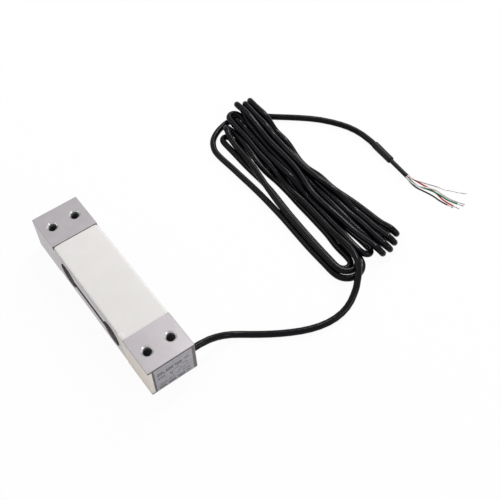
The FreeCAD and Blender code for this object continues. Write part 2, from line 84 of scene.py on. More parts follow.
class Shader:
    """A node material: a Principled shader and helpers that add nodes to it."""

    def __init__(self, name, colour, roughness, metallic=0.0, specular=0.5):
        self.material = bpy.data.materials.new(name)
        self.material.use_nodes = True
        self.tree = self.material.node_tree
        self.shader = self.tree.nodes["Principled BSDF"]
        self.set("Base Color", (*colour, 1.0))
        self.set("Roughness", roughness)
        self.set("Metallic", metallic)
        self.set("Specular IOR Level", specular)
        self.place = self.node("ShaderNodeTexCoord").outputs["Object"]

    def node(self, kind, **values):
        made = self.tree.nodes.new(kind)
        for key, value in values.items():
            setattr(made, key, value)
        return made

    def set(self, socket, value):
        self.shader.inputs[socket].default_value = value

    def link(self, source, target):
        self.tree.links.new(source, target)

    def stretched(self, scale):
        """Object coordinates in metres, times a scale for each axis."""
        mapping = self.node("ShaderNodeMapping")
        mapping.inputs["Scale"].default_value = scale
        self.link(self.place, mapping.inputs["Vector"])
        return mapping.outputs["Vector"]

    def noise(self, scale, detail, stretch=None):
        made = self.node("ShaderNodeTexNoise")
        made.inputs["Scale"].default_value = scale
        made.inputs["Detail"].default_value = detail
        made.inputs["Roughness"].default_value = NOISE_ROUGHNESS
        self.link(self.stretched(stretch) if stretch else self.place, made.inputs["Vector"])
        return made.outputs["Fac"]

    def ramp(self, source, stops):
        """A colour ramp; stops holds places with a colour or a grey level."""
        made = self.node("ShaderNodeValToRGB")
        elements = made.color_ramp.elements
        for i, (place, tone) in enumerate(stops):
            stop = elements[i] if i < 2 else elements.new(place)
            stop.position = place
            stop.color = (*tone, 1.0) if isinstance(tone, tuple) else (tone, tone, tone, 1.0)
        self.link(source, made.inputs["Fac"])
        return made.outputs["Color"]

    def between(self, source, tones, stops=WIDE_STOPS):
        """A ramp from one tone to another."""
        return self.ramp(source, list(zip(stops, tones)))

    def math(self, operation, a, b=None):
        made = self.node("ShaderNodeMath", operation=operation)
        for i, value in enumerate((a, b)):
            if value is None:
                continue
            if isinstance(value, (int, float)):
                made.inputs[i].default_value = value
            else:
                self.link(value, made.inputs[i])
        return made.outputs["Value"]

    def mix(self, factor, a, b):
        """One colour or another, by a factor."""
        made = self.node("ShaderNodeMix", data_type="RGBA")
        self.link(factor, made.inputs["Factor"])
        self.link(a, made.inputs[MIX_A])
        self.link(b, made.inputs[MIX_B])
        return made.outputs[MIX_RESULT]

    def times(self, a, b):
        """One colour multiplied by another."""
        made = self.node("ShaderNodeMix", data_type="RGBA", blend_type="MULTIPLY")
        made.inputs["Factor"].default_value = 1.0
        self.link(a, made.inputs[MIX_A])
        self.link(b, made.inputs[MIX_B])
        return made.outputs[MIX_RESULT]

    def colour(self, source):
        self.link(source, self.shader.inputs["Base Color"])

    def roughness(self, source, low, high):
        made = self.node("ShaderNodeMapRange")
        made.inputs["To Min"].default_value = low
        made.inputs["To Max"].default_value = high
        self.link(source, made.inputs["Value"])
        self.link(made.outputs["Result"], self.shader.inputs["Roughness"])

    def bump(self, height, distance, strength):
        made = self.node("ShaderNodeBump")
        made.inputs["Distance"].default_value = distance
        made.inputs["Strength"].default_value = strength
        self.link(height, made.inputs["Height"])
        self.link(made.outputs["Normal"], self.shader.inputs["Normal"])


# The darker and the lighter tone of each kind of face of the beam, as painted light and shade:
# level pads lightest, sides darker and end faces darkest by painted shade.
PAD_TONES = ((0.40, 0.375, 0.39), (0.435, 0.41, 0.425))
SIDE_SHADED_TONES = ((0.34, 0.31, 0.32), (0.40, 0.37, 0.38))
END_SHADED_TONES = ((0.10, 0.09, 0.092), (0.13, 0.115, 0.12))
# Where a face counts as level, and where a point counts as on an end face.
LEVEL_FACE = [(0.75, 0.0), (0.95, 1.0)]
END_FACE = [(0.998, 0.0), (0.9995, 1.0)]
# Painted shade in the slot and other hollows: the colour darkens where ambient occlusion finds
# faces within SHADE_REACH.
SLOT_SHADE = [(0.25, 0.20), (0.60, 1.0)]
SHADE_REACH = 0.012
# Milling marks run along the beam, so their noise is drawn out along X.
MILLED_GLOSS = (0.2, 1.0, 1.0)
MILLED_MARKS = (0.1, 1.0, 1.0)


def aluminium():
    """Milled pads, sides and end faces darkened by painted shade, and painted shade in the slot.
    """
    s = Shader("beam_aluminium", (0.50, 0.48, 0.495), 0.36, metallic=0.88)
    facing = s.node("ShaderNodeSeparateXYZ")
    s.link(s.node("ShaderNodeNewGeometry").outputs["True Normal"], facing.inputs[0])
    grain = s.noise(90, 4)
    pads, sides, ends = (s.between(grain, tones) for tones in (PAD_TONES, SIDE_SHADED_TONES, END_SHADED_TONES))
    place = s.node("ShaderNodeSeparateXYZ")
    s.link(s.place, place.inputs[0])
    level = s.ramp(s.math("ABSOLUTE", facing.outputs["Z"]), LEVEL_FACE)
    reach = s.math("DIVIDE", s.math("ABSOLUTE", place.outputs["X"]), BEAM_END)
    open_air = s.node("ShaderNodeAmbientOcclusion", samples=8, only_local=True)
    open_air.inputs["Distance"].default_value = SHADE_REACH
    tone = s.mix(s.ramp(reach, END_FACE), s.mix(level, sides, pads), ends)
    s.colour(s.times(tone, s.ramp(open_air.outputs["AO"], SLOT_SHADE)))
    s.roughness(s.noise(900, 2, stretch=MILLED_GLOSS), 0.28, 0.32)
    s.bump(s.noise(5200, 2, stretch=MILLED_MARKS), 0.000004, 0.15)
    return s.material


# Painted shade that darkens a hole with its depth, which is counted in BRIGHT_DEPTHs.
BRIGHT_DEPTH = 0.004
DEPTH_SHADE = [(0.50, 1.0), (1.15, 0.34)]


def cut_thread():
    """Tool-turned metal, bright with painted highlights near each face and darkened by painted
    shade further down the hole.
    """
    s = Shader("cut_thread", (0.7, 0.69, 0.7), 0.22, metallic=0.4)
    # The tone attribute carries the painted highlights round each hole and the painted shade in
    # the thread's roots.
    tone = s.node("ShaderNodeAttribute", attribute_name="tone").outputs["Color"]
    place = s.node("ShaderNodeSeparateXYZ")
    s.link(s.place, place.inputs[0])
    from_middle = s.math("ABSOLUTE", s.math("SUBTRACT", place.outputs["Z"], BEAM_TOP / 2))
    depth = s.math("DIVIDE", s.math("SUBTRACT", BEAM_TOP / 2, from_middle), BRIGHT_DEPTH)
    s.colour(s.times(tone, s.ramp(depth, DEPTH_SHADE)))
    s.roughness(s.noise(1500, 2), 0.16, 0.30)
    return s.material


def silicone(name, low, high, roughness):
    """Soft and slightly cloudy, with a gently uneven surface."""
    s = Shader(name, high, roughness, specular=0.30)
    s.colour(s.between(s.noise(60, 3), (low, high)))
    s.roughness(s.noise(220, 2), roughness - 0.06, roughness + 0.08)
    s.bump(s.noise(110, 2), 0.00010, 0.5)
    s.set("Subsurface Weight", 0.06)
    s.set("Subsurface Scale", 0.001)
    return s.material


def jacket():
    """The cable's smooth black jacket."""
    s = Shader("cable_jacket", (0.0034, 0.0034, 0.0050), 0.20, specular=0.095)
    s.colour(s.between(s.noise(120, 2), ((0.0030, 0.0030, 0.0044), (0.0042, 0.0042, 0.0060))))
    s.roughness(s.noise(160, 2), 0.17, 0.23)
    return s.material


def ink():
    """The label's dark print."""
    s = Shader("label_ink", (0.14, 0.14, 0.17), 0.5, specular=0.3)
    tones = ((0.035, 0.035, 0.05), (0.09, 0.09, 0.11))
    s.colour(s.between(s.noise(2500, 2), tones, NARROW_STOPS))
    return s.material


PLASTIC_GRAIN = 900


def plastic(name, colour, roughness, specular=0.3):
    """A satin plastic or rubber with a fine grain."""
    s = Shader(name, colour, roughness, specular=specular)
    darker = tuple(0.86 * c for c in colour)
    s.colour(s.between(s.noise(PLASTIC_GRAIN / 3, 2), (darker, colour), NARROW_STOPS))
    s.roughness(s.noise(PLASTIC_GRAIN, 2), roughness - 0.05, roughness + 0.07)
    s.bump(s.noise(PLASTIC_GRAIN, 2), 0.00002, 0.4)
    return s.material


def bare_metal(name, colour, roughness):
    """Tinned wire, a little dull in places."""
    s = Shader(name, colour, roughness, metallic=1.0)
    s.colour(s.between(s.noise(800, 3), (tuple(0.8 * c for c in colour), colour)))
    s.roughness(s.noise(1600, 2), roughness - 0.06, roughness + 0.1)
    return s.material


MATERIALS = {
    "beam_aluminium": aluminium(),
    "white_silicone": silicone("white_silicone", (0.755, 0.735, 0.72), (0.79, 0.77, 0.755), 0.52),
    "cream_silicone": silicone("cream_silicone", (0.885, 0.805, 0.72), (0.93, 0.86, 0.775), 0.46),
    "gauge_film": plastic("gauge_film", (0.52, 0.25, 0.06), 0.35),
    "circuit_board": plastic("circuit_board", (0.02, 0.12, 0.04), 0.45),
    "tinned_copper": bare_metal("tinned_copper", (0.36, 0.34, 0.335), 0.28),
    "lead_insulation": plastic("lead_insulation", (0.55, 0.52, 0.45), 0.45),
    "resistor_body": plastic("resistor_body", (0.02, 0.02, 0.022), 0.4),
    "cable_jacket": jacket(),
    "seal_rubber": plastic("seal_rubber", (0.010, 0.010, 0.011), 0.6, specular=0.15),
    "entry_sealant": plastic("entry_sealant", (0.55, 0.53, 0.49), 0.5),
    "label_foil": plastic("label_foil", (0.425, 0.41, 0.445), 0.38),
    "label_ink": ink(),
    "cut_thread": cut_thread(),
    "heat_shrink": plastic("heat_shrink", (0.008, 0.008, 0.010), 0.42, specular=0.14),
    "red_insulation": plastic("red_insulation", (0.66, 0.022, 0.012), 0.5, 0.12),
    "green_insulation": plastic("green_insulation", (0.004, 0.19, 0.075), 0.5, 0.12),
    "white_insulation": plastic("white_insulation", (0.72, 0.72, 0.70), 0.5, 0.12),
    "black_insulation": plastic("black_insulation", (0.006, 0.006, 0.007), 0.5, 0.12),
}


def dress_nodes():
    """Gives each CAD node the material of its slot in the record."""
    for part in frame["record"]["subparts"]:
        mesh = NODES[part["node"]].data
        mesh.materials.clear()
        mesh.materials.append(MATERIALS[part["material_slot"]])


# ---------------------------------------------------------------- the beam's details

HOLE_X = 0.061
HOLE_Y = 0.00875
HOLE_RADIUS = 0.0034
HOLE_MOUTH_RADIUS = 0.00415
HOLE_SIDES = 36
SINK_ROWS = 4
THREAD_PITCH = 0.00125
THREAD_HEIGHT = 0.00030
# How far the countersink and the thread stand off the beam's own faces.
HOLE_SKIN = 0.00003
# The two directions round a hole, in radians, in which a painted highlight brightens its cut
# metal.
# For each kind of cut: its tone elsewhere, what the painted highlight adds, and how narrow it is.
PAINTED_GLINT_TURNS = (4.1, 1.8)
SINK_TONE, SINK_PAINTED_SHINE, SINK_SHARPNESS = 0.62, 0.38, 6
THREAD_TONE, THREAD_PAINTED_SHINE, THREAD_SHARPNESS = 0.5, 0.5, 4
# The tone of the thread's roots, as a share of its crests': painted shade in the grooves.
ROOT_SHADE_SHARE = 0.6
# Faces with edges shorter than this are dissolved.
NO_AREA = 1e-6


def piece(name, points, faces, slot, material=None, smooth=True, tones=None):
    """A mesh that belongs to the object, in the frame's own coordinates."""
    mesh = bpy.data.meshes.new(name)
    mesh.from_pydata([tuple(p) for p in points], [], faces)
    if tones:
        # The tones become the tone attribute, which carries painted highlights and painted shade.
        tone = mesh.color_attributes.new("tone", "FLOAT_COLOR", "POINT")
        tone.data.foreach_set("color", [v for t in tones for v in (t, t, t, 1.0)])
    form = bmesh.new()
    form.from_mesh(mesh)
    bmesh.ops.dissolve_degenerate(form, dist=NO_AREA, edges=form.edges)
    form.to_mesh(mesh)
    form.free()
    mesh.polygons.foreach_set("use_smooth", [smooth] * len(mesh.polygons))
    made = bpy.data.objects.new(name, mesh)
    bpy.context.collection.objects.link(made)
    mesh.materials.append(MATERIALS[material or slot])
    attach(made, "root")
    return made


def rings(first, count, sides):
    """Faces between closed rows of points, each row the same number of points."""
    faces = []
    for row in range(count - 1):
        for side in range(sides):
            a = first + row * sides + side
            b = first + row * sides + (side + 1) % sides
            faces.append((a, b, b + sides, a + sides))
    return faces


def painted_shine(turn, sharpness):
    """The painted highlight on cut metal, by its direction round a hole."""
    return max(*(math.cos(turn - glint) for glint in PAINTED_GLINT_TURNS), 0) ** sharpness


def tapped_hole(x, y, points, faces, tones):
    """One hole's countersinks and its thread, just inside the drilled bore, with painted
    highlights and shade in their tones.
    """
    turns = [2 * math.pi * side / HOLE_SIDES for side in range(HOLE_SIDES)]
    sink = HOLE_MOUTH_RADIUS - HOLE_RADIUS
    for face_z, inward in ((BEAM_TOP, -1), (0.0, 1)):
        faces += rings(len(points), SINK_ROWS, HOLE_SIDES)
        for row in range(SINK_ROWS):
            down = sink * row / (SINK_ROWS - 1)
            radius = HOLE_MOUTH_RADIUS - HOLE_SKIN - down
            for turn in turns:
                points.append((x + radius * math.cos(turn), y + radius * math.sin(turn),
                               face_z + inward * (down + HOLE_SKIN)))
                # The countersink's tone, brightened by the painted highlight.
                tones.append(SINK_TONE + SINK_PAINTED_SHINE * painted_shine(turn, SINK_SHARPNESS))
    first = len(points)
    top = BEAM_TOP - sink
    rows = 2 * int(top / THREAD_PITCH) + 4
    for row in range(rows):
        crest = row % 2 == 1
        radius = HOLE_RADIUS - HOLE_SKIN - (THREAD_HEIGHT if crest else 0)
        for side, turn in enumerate(turns):
            z = top - THREAD_PITCH * (row / 2 + side / HOLE_SIDES) + THREAD_PITCH
            points.append((x + radius * math.cos(turn), y + radius * math.sin(turn),
                           min(max(z, sink), top)))
            # The thread's tone, brightened by the painted highlight.
            lit = THREAD_TONE + THREAD_PAINTED_SHINE * painted_shine(turn, THREAD_SHARPNESS)
            # Painted shade in the thread's roots.
            tones.append((1.0 if crest else ROOT_SHADE_SHARE) * lit)
    # Each turn of the helix ends on the row one pitch below its start.
    for row in range(rows - 1):
        for side in range(HOLE_SIDES):
            a = first + row * HOLE_SIDES + side
            b = a + 1 if side < HOLE_SIDES - 1 else first + (row + 2) * HOLE_SIDES
            if b + HOLE_SIDES < len(points):
                faces.append((a, b, b + HOLE_SIDES, a + HOLE_SIDES))


def tapped_holes():
    points, faces, tones = [], [], []
    for x in (-HOLE_X, HOLE_X):
        for y in (-HOLE_Y, HOLE_Y):
            tapped_hole(x, y, points, faces, tones)
    piece("hole_threads", points, faces, "beam_aluminium", "cut_thread", tones=tones)


CORNER_STEPS = 6
LONG_EDGE_STEPS = 24
SHORT_EDGE_STEPS = 8


def rounded_outline(half_x, half_y, radius, inset):
    """Points round a rectangle with round corners, drawn in from its edge."""
    corner = max(radius - inset, 0.0)
    reach_x, reach_y = half_x - inset - corner, half_y - inset - corner
    points = []
    for quarter, (sign_x, sign_y) in enumerate(((1, 1), (-1, 1), (-1, -1), (1, -1))):
        for step in range(CORNER_STEPS + 1):
            turn = math.pi / 2 * (quarter + step / CORNER_STEPS)
            points.append((sign_x * reach_x + corner * math.cos(turn),
                           sign_y * reach_y + corner * math.sin(turn)))
        far_x, far_y = points[-1]
        if quarter % 2 == 0:
            points += [(far_x - sign_x * 2 * reach_x * k / LONG_EDGE_STEPS, far_y)
                       for k in range(1, LONG_EDGE_STEPS)]
        else:
            points += [(far_x, far_y - sign_y * 2 * reach_y * k / SHORT_EDGE_STEPS)
                       for k in range(1, SHORT_EDGE_STEPS)]
    return points


SHEET_CORNER = 0.003
# How far in from its edge each row of the sheet's points lies.
SHEET_INSETS = (0.0, 0.00008, 0.00025, 0.0005, 0.0009, 0.0014, 0.0022, 0.004, 0.007, 0.011,
                0.015, 0.0172)
SHEET_SIDE_ROUND = 0.0014
SHEET_END_ROUND = 0.0005
# The share of its full height that the sheet has at its ends, and the rest.
SHEET_END_SHARE, SHEET_END_RISE = 0.62, 0.38
SHEET_CROWN = 0.00025
# The sheet's slow waves: their height, and how close they lie along X and Y.
SHEET_WAVE, WAVES_X, WAVES_Y = 0.00006, 130, 90


def silicone_sheet(name, node, outward):
    """Silicone over the gauges: slightly crowned, rounded along its long edges."""
    low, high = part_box(node)
    half_x, half_y = high[0], high[1]
    floor_z = low[2] if outward > 0 else high[2]
    deep = high[2] - low[2]
    points = []
    for row, inset in enumerate((0.0, *SHEET_INSETS)):
        outline = rounded_outline(half_x, half_y, SHEET_CORNER, inset)
        for x, y in outline:
            side = min((half_y - abs(y)) / SHEET_SIDE_ROUND, 1.0)
            end = min((half_x - abs(x)) / SHEET_END_ROUND, 1.0)
            end_rise = SHEET_END_SHARE + SHEET_END_RISE * math.sqrt(1 - (1 - end) ** 2)
            rise = math.sqrt(1 - (1 - side) ** 2) * end_rise
            crown = SHEET_CROWN * (1 - (y / half_y) ** 2)
            wave = SHEET_WAVE * math.sin(x * WAVES_X) * math.cos(y * WAVES_Y)
            height = 0.0 if row == 0 else deep * rise + (crown + wave) * rise
            points.append((x, y, floor_z + outward * height))
    count = len(outline)
    faces = rings(0, len(SHEET_INSETS) + 1, count)
    faces.append(tuple(range(len(points) - count, len(points))))
    faces.append(tuple(reversed(range(count))))
    if outward < 0:
        faces = [tuple(reversed(face)) for face in faces]
    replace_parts(piece(name, points, faces, "white_silicone"), node)


# The swell's middle at its foot, and how far it reaches along, across and up.
SWELL_FOOT = (0.0418, -0.0158, 0.0268)
SWELL_REACH = (0.0041, 0.0028, 0.00125)
# It stops at the pad, and just past the beam's side.
SWELL_PAD_X = 0.0456
SWELL_SIDE_Y = -BEAM_SIDE - 0.00004
SWELL_ROWS, SWELL_SIDES = 9, 32


def potting_swell():
    """Where the pocket's silicone has swelled over the beam's edge beside the pad."""
    points = []
    for row in range(SWELL_ROWS):
        up = math.pi / 2 * row / (SWELL_ROWS - 1)
        for side in range(SWELL_SIDES):
            turn = 2 * math.pi * side / SWELL_SIDES
            x = SWELL_FOOT[0] + SWELL_REACH[0] * math.cos(up) * math.cos(turn)
            y = SWELL_FOOT[1] + SWELL_REACH[1] * math.cos(up) * math.sin(turn)
            points.append((min(x, SWELL_PAD_X), max(y, SWELL_SIDE_Y),
                           SWELL_FOOT[2] + SWELL_REACH[2] * math.sin(up)))
    faces = rings(0, SWELL_ROWS, SWELL_SIDES)
    piece("potting_swell", points, faces, "cream_silicone", "white_silicone")


LABEL_LOW, LABEL_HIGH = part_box("rating_label")
LABEL_WIDTH, LABEL_HEIGHT = LABEL_HIGH[1] - LABEL_LOW[1], LABEL_HIGH[2] - LABEL_LOW[2]
# The print sinks this far into the label, and is this thick in all.
PRINT_SINK = 0.00001
PRINT_THICK = 0.00003
# Rows of greeked print: height of the row's middle, half its strokes' height, and
# its two ends across the label, from the label's left and lower edges.
PRINT_ROWS_MM = [
    (19.7, 0.60, 2.2, 26.0), (18.0, 0.60, 2.2, 22.0),
    (14.6, 0.32, 2.2, 8.6), (14.6, 0.32, 14.0, 24.8),
    (13.2, 0.32, 2.2, 7.4), (10.6, 0.30, 19.5, 25.5),
    (6.9, 0.32, 3.2, 14.2), (6.9, 0.32, 20.2, 26.0),
    (5.5, 0.30, 3.2, 11.0), (3.2, 0.50, 2.2, 26.0), (1.7, 0.42, 2.2, 24.0),
]
# A stroke's length varies by a sine of its row and its place in the row.
STROKE_MM, STROKE_SPREAD_MM, STROKE_GAP_MM = 0.55, 0.9, 0.28
STROKE_TURN_BY_ROW, STROKE_TURN_BY_PLACE = 7.3, 2.1
WORD_STROKES = 5
# The sketch: a rising curve, and two slanting lines that meet below.
CURVE_STEPS = 14
CURVE_START, CURVE_REACH, CURVE_THICK = (0.0155, 0.0073), (0.0036, 0.0050), 0.0003
SLANT_STEPS = 8
SLANTS = ((0.0112, 0.0009), (0.0130, -0.0009))
SLANT_WIDTH = 0.0004
SLANT_LOW, SLANT_HIGH, SLANT_DROP = 0.0138, 0.0145, 0.004


class LabelPrint:
    """The label's print: thin boxes, placed from the label's left and lower edges."""

    def __init__(self):
        self.points, self.faces = [], []

    def bar(self, y0, y1, z0, z1):
        first = len(self.points)
        x, left, base = LABEL_HIGH[0] - PRINT_SINK, LABEL_LOW[1], LABEL_LOW[2]
        corners = ((y0, z0), (y1, z0), (y1, z1), (y0, z1))
        self.points += [(x + deep, left + y, base + z)
                        for deep in (0, PRINT_THICK) for y, z in corners]
        self.faces += [tuple(first + i for i in face) for face in
                       ((4, 5, 6, 7), (0, 1, 5, 4), (1, 2, 6, 5), (2, 3, 7, 6), (3, 0, 4, 7))]


def label_print():
    """Rows of broken strokes and a small sketch, with no readable letters."""
    ink_bars = LabelPrint()
    for row, (z, half, start, stop) in enumerate(PRINT_ROWS_MM):
        at, stroke = start, 0
        while at < stop:
            turn = STROKE_TURN_BY_ROW * row + STROKE_TURN_BY_PLACE * stroke
            end = min(at + STROKE_MM + STROKE_SPREAD_MM * abs(math.sin(turn)), stop)
            if stroke % WORD_STROKES != WORD_STROKES - 1:
                ink_bars.bar(at * MM, end * MM, (z - half) * MM, (z + half) * MM)
            at, stroke = end + STROKE_GAP_MM, stroke + 1
    for step in range(CURVE_STEPS):
        a, b = step / CURVE_STEPS, (step + 1) / CURVE_STEPS
        (y, z), (reach, rise) = CURVE_START, CURVE_REACH
        ink_bars.bar(y + reach * a, y + reach * b,
                     z + rise * a ** 2, z + rise * b ** 2 + CURVE_THICK)
    for step in range(SLANT_STEPS):
        share = step / SLANT_STEPS
        for y, lean in SLANTS:
            ink_bars.bar(y + lean * share, y + SLANT_WIDTH + lean * share,
                         SLANT_LOW - SLANT_DROP * share, SLANT_HIGH - SLANT_DROP * share)
    # The dark edges on the label's left and along its top.
    ink_bars.bar(0, 0.00035, 0.0004, LABEL_HEIGHT - 0.0004)
    ink_bars.bar(0.0004, LABEL_WIDTH - 0.0004, LABEL_HEIGHT - 0.0003, LABEL_HEIGHT)
    piece("label_print", ink_bars.points, ink_bars.faces, "label_foil", "label_ink", smooth=False)


# ---------------------------------------------------------------- the cable

# The cable's two loose stretches: from the seal to the hank, and from the hank
# to the sleeves. The hank takes the last two places of the first and the first
# two of the second.
LEAD_MM = [
    (69.5, 13.5, 14.25), (69.5, 25.5, 14.25), (68.6, 37.0, 8.2), (70.2, 47.5, 2.8),
    (78.2, 58.0, 2.4), (86.2, 69.0, 2.4), (93.4, 80.5, 2.4), (99.3, 92.5, 2.4),
    (102.6, 105.0, 2.4), (102.6, 117.0, 2.7), (99.8, 127.0, 4.4), (94.6, 135.6, 7.2),
    (87.4, 143.4, 8.8),
]
TAIL_MM = [
    (-79.6, 182.6, 2.4), (-70.0, 193.5, 2.4), (-58.6, 207.0, 2.4), (-46.4, 219.6, 2.4),
    (-31.6, 229.6, 2.4), (-20.0, 234.2, 2.6), (-5.7, 235.95, 2.95), (8.1, 235.2, 2.95),
]

# The hank's strands in the cable's own order, each from its left end to its
# right end: place across (y) and height (z) at six stations along the hank (x).
STATIONS_MM = (-72, -45, -15, 15, 45, 62)
STRANDS_MM = [
    [(158.4, 7.0), (156.9, 6.6), (155.8, 6.8), (155.2, 6.8), (153.8, 7.4), (152.4, 10.4)],
    [(168.6, 5.2), (165.0, 2.4), (164.0, 2.4), (167.3, 2.4), (171.8, 2.4), (174.4, 2.4)],
    [(173.6, 9.2), (176.0, 6.8), (175.4, 7.2), (173.8, 6.7), (174.2, 6.8), (174.4, 7.4)],
    [(174.0, 2.4), (171.2, 2.4), (168.9, 2.4), (172.2, 2.4), (176.8, 2.4), (180.2, 2.4)],
    [(175.2, 12.6), (174.4, 10.8), (172.8, 10.9), (175.2, 10.8), (179.0, 6.8), (179.8, 7.4)],
    [(180.4, 3.2), (178.6, 2.4), (173.8, 2.4), (177.2, 2.4), (182.0, 2.4), (186.0, 2.4)],
    [(179.9, 12.0), (179.6, 6.2), (178.4, 3.6), (178.2, 7.1), (183.0, 7.4), (185.4, 8.2)],
    [(178.8, 8.0), (171.3, 7.0), (170.4, 6.7), (169.3, 6.6), (169.4, 6.6), (170.4, 5.4)],
    [(170.4, 12.8), (169.3, 11.0), (167.0, 10.9), (163.0, 10.8), (164.4, 10.6), (165.6, 9.8)],
    [(166.8, 9.2), (165.4, 6.6), (165.0, 6.6), (164.4, 6.6), (165.2, 5.6), (167.8, 3.0)],
    [(163.2, 7.6), (161.5, 6.6), (159.0, 10.2), (159.7, 6.6), (158.2, 6.6), (156.3, 6.9)],
    [(163.6, 2.6), (159.2, 2.4), (160.4, 6.4), (157.6, 2.4), (156.4, 3.4), (153.2, 6.6)],
    [(149.4, 6.4), (145.9, 6.7), (142.0, 7.1), (138.6, 6.7), (136.3, 6.6), (136.0, 6.6)],
    [(156.0, 3.4), (152.6, 6.2), (153.4, 2.6), (152.8, 2.4), (152.9, 2.4), (151.4, 2.4)],
    [(144.0, 2.4), (143.9, 2.4), (143.5, 2.4), (140.3, 2.4), (138.7, 2.4), (138.4, 2.4)],
    [None, (154.4, 2.4), (159.0, 2.4), (162.4, 2.4), (160.5, 2.4), (156.2, 2.4)],
    [None, (133.9, 2.4), (135.2, 2.4), (135.0, 2.4), (133.8, 2.4), (133.6, 2.4)],
]
# The turns between them: how far along (x) each one reaches, and (y, z) where it
# leaves one strand and where it joins the next.
TURNS_MM = [
    (-90.0, (159.6, 8.2), (170.8, 7.4)),
    (83.8, (177.9, 2.4), (173.9, 10.0)),
    (-77.0, (174.4, 9.6), (174.4, 2.4)),
    (81.3, (184.4, 2.4), (180.4, 10.0)),
    (-90.0, (175.9, 12.4), (178.8, 6.6)),
    (76.3, (190.9, 2.4), (186.9, 10.0)),
    (-91.0, (180.2, 12.0), (183.4, 6.8)),
    (83.3, (171.4, 2.4), (167.4, 10.0)),
    (-92.6, (170.4, 13.2), (173.2, 7.8)),
    (77.4, (167.6, 2.4), (156.8, 6.8)),
    (-82.0, (163.0, 9.4), (164.6, 2.4)),
    (81.5, (153.4, 6.7), (136.5, 6.6)),
    (-82.0, (151.5, 7.4), (156.2, 2.6)),
    (76.4, (150.2, 2.4), (138.4, 2.4)),
    (-77.4, (144.2, 2.4), (151.0, 2.4)),
    (85.0, (156.0, 2.4), (133.4, 2.4)),
]
# The way in to the first strand, and the way out from the last one to the tail.
LEAD_IN_MM = [(80.0, 148.6, 10.6), (70.0, 151.8, 11.0)]
LAST_ARC_MM = [
    (-68.0, 133.0, 2.4), (-74.2, 134.8, 2.4), (-80.0, 138.6, 2.4), (-84.6, 144.9, 2.4),
    (-87.2, 151.2, 2.4), (-88.7, 159.1, 2.4), (-87.5, 168.0, 2.4), (-84.4, 176.0, 2.4),
]
TURN_STEPS = 6
HANK_STEP_MM = 2.5
LINE_SAMPLES = 40

# How the turns settle: rounds, the room between two turns, the share of an
# overlap that one push clears, what its spreading gives back, and how strongly
# the laid path holds at first.
SETTLE_ROUNDS = 240
TURN_GAP_MM = 0.05
PUSH_SHARE = 0.4
PUSH_GAIN = 1.3
HOLD = 0.03
# Touching places are looked for every few rounds, a little beyond touching, and
# never nearer than some diameters along the cable.
PAIR_ROUNDS = 5
PAIR_MARGIN_MM = 2.5
PAIR_SKIP_DIAMETERS = 3.0
# A push spreads this many steps along the cable: at the last round, and how
# many more at the first.
SPREAD_LAST, SPREAD_EXTRA = 2, 6
# The turns sink a little each round, except at the hank's springy ends.
SINK_MM = 0.012
SPRUNG_END_MM = 78.0
SPRUNG_FADE_MM = 20
# The places at each end of the hank that don't move.
HELD_AT_START, HELD_AT_END = 4, 8
NO_LENGTH = 1e-6


def turn_points(tip, leave, join):
    """Half a loop, out to its tip and back, from one strand to the next."""
    start = np.array([0.0, *leave])
    end = np.array([0.0, *join])
    radius = np.linalg.norm(end - start) / 2
    base = tip - math.copysign(radius, tip)
    middle = (start + end) / 2
    points = []
    for step in range(TURN_STEPS + 1):
        angle = math.pi * step / TURN_STEPS
        point = middle + (start - middle) * math.cos(angle)
        point[0] = base + (tip - base) * math.sin(angle)
        points.append(point)
    return points


def hank_plan():
    """The hank as laid, before the turns have settled on each other."""
    points = [np.array(p) for p in LEAD_MM[-2:] + LEAD_IN_MM]
    for i, strand in enumerate(STRANDS_MM):
        along = [np.array([x, *place]) for x, place in zip(STATIONS_MM, strand) if place]
        points += along if i % 2 else along[::-1]
        if i < len(TURNS_MM):
            points += turn_points(*TURNS_MM[i])
    points += [np.array(p) for p in LAST_ARC_MM + TAIL_MM[:2]]
    return np.array(points)


def smooth_line(points, spacing):
    """A centripetal Catmull-Rom line through the points, evenly spaced."""
    ends = np.vstack([2 * points[0] - points[1], points, 2 * points[-1] - points[-2]])
    strides = np.sqrt(np.linalg.norm(np.diff(ends, axis=0), axis=1))
    knots = np.concatenate([[0], np.cumsum(strides)])
    fine = []
    for i in range(1, len(ends) - 2):
        t = np.linspace(knots[i], knots[i + 1], LINE_SAMPLES, endpoint=False)[:, None]
        k = knots[i - 1:i + 3]
        p = ends[i - 1:i + 3]
        a = [(k[j + 1] - t) / (k[j + 1] - k[j]) * p[j] + (t - k[j]) / (k[j + 1] - k[j]) * p[j + 1]
             for j in range(3)]
        b = [(k[j + 2] - t) / (k[j + 2] - k[j]) * a[j] + (t - k[j]) / (k[j + 2] - k[j]) * a[j + 1]
             for j in range(2)]
        fine.append((k[2] - t) / (k[2] - k[1]) * b[0] + (t - k[1]) / (k[2] - k[1]) * b[1])
    fine.append(points[-1:])
    return spaced(np.vstack(fine), spacing)


def spaced(line, spacing):
    """The same line as places the same distance apart."""
    along = np.concatenate([[0], np.cumsum(np.linalg.norm(np.diff(line, axis=0), axis=1))])
    count = int(round(along[-1] / spacing)) + 1
    wanted = np.linspace(0, along[-1], count)
    return np.stack([np.interp(wanted, along, line[:, axis]) for axis in range(3)], axis=1)


def near_pairs(line, reach, skip):
    """Pairs of places within reach that aren't on the same stretch of cable."""
    gaps = np.linalg.norm(line[:, None, :] - line[None, :, :], axis=2)
    first, second = np.nonzero(np.triu(gaps < reach, skip))
    return first, second


def evened(pushes, width):
    """Pushes spread along the cable, as its stiffness spreads them."""
    reach = np.arange(-3 * width, 3 * width + 1)
    weights = np.exp(-0.5 * (reach / width) ** 2)
    weights /= weights.sum()
    return np.stack([np.convolve(pushes[:, axis], weights, "same") for axis in range(3)], axis=1)


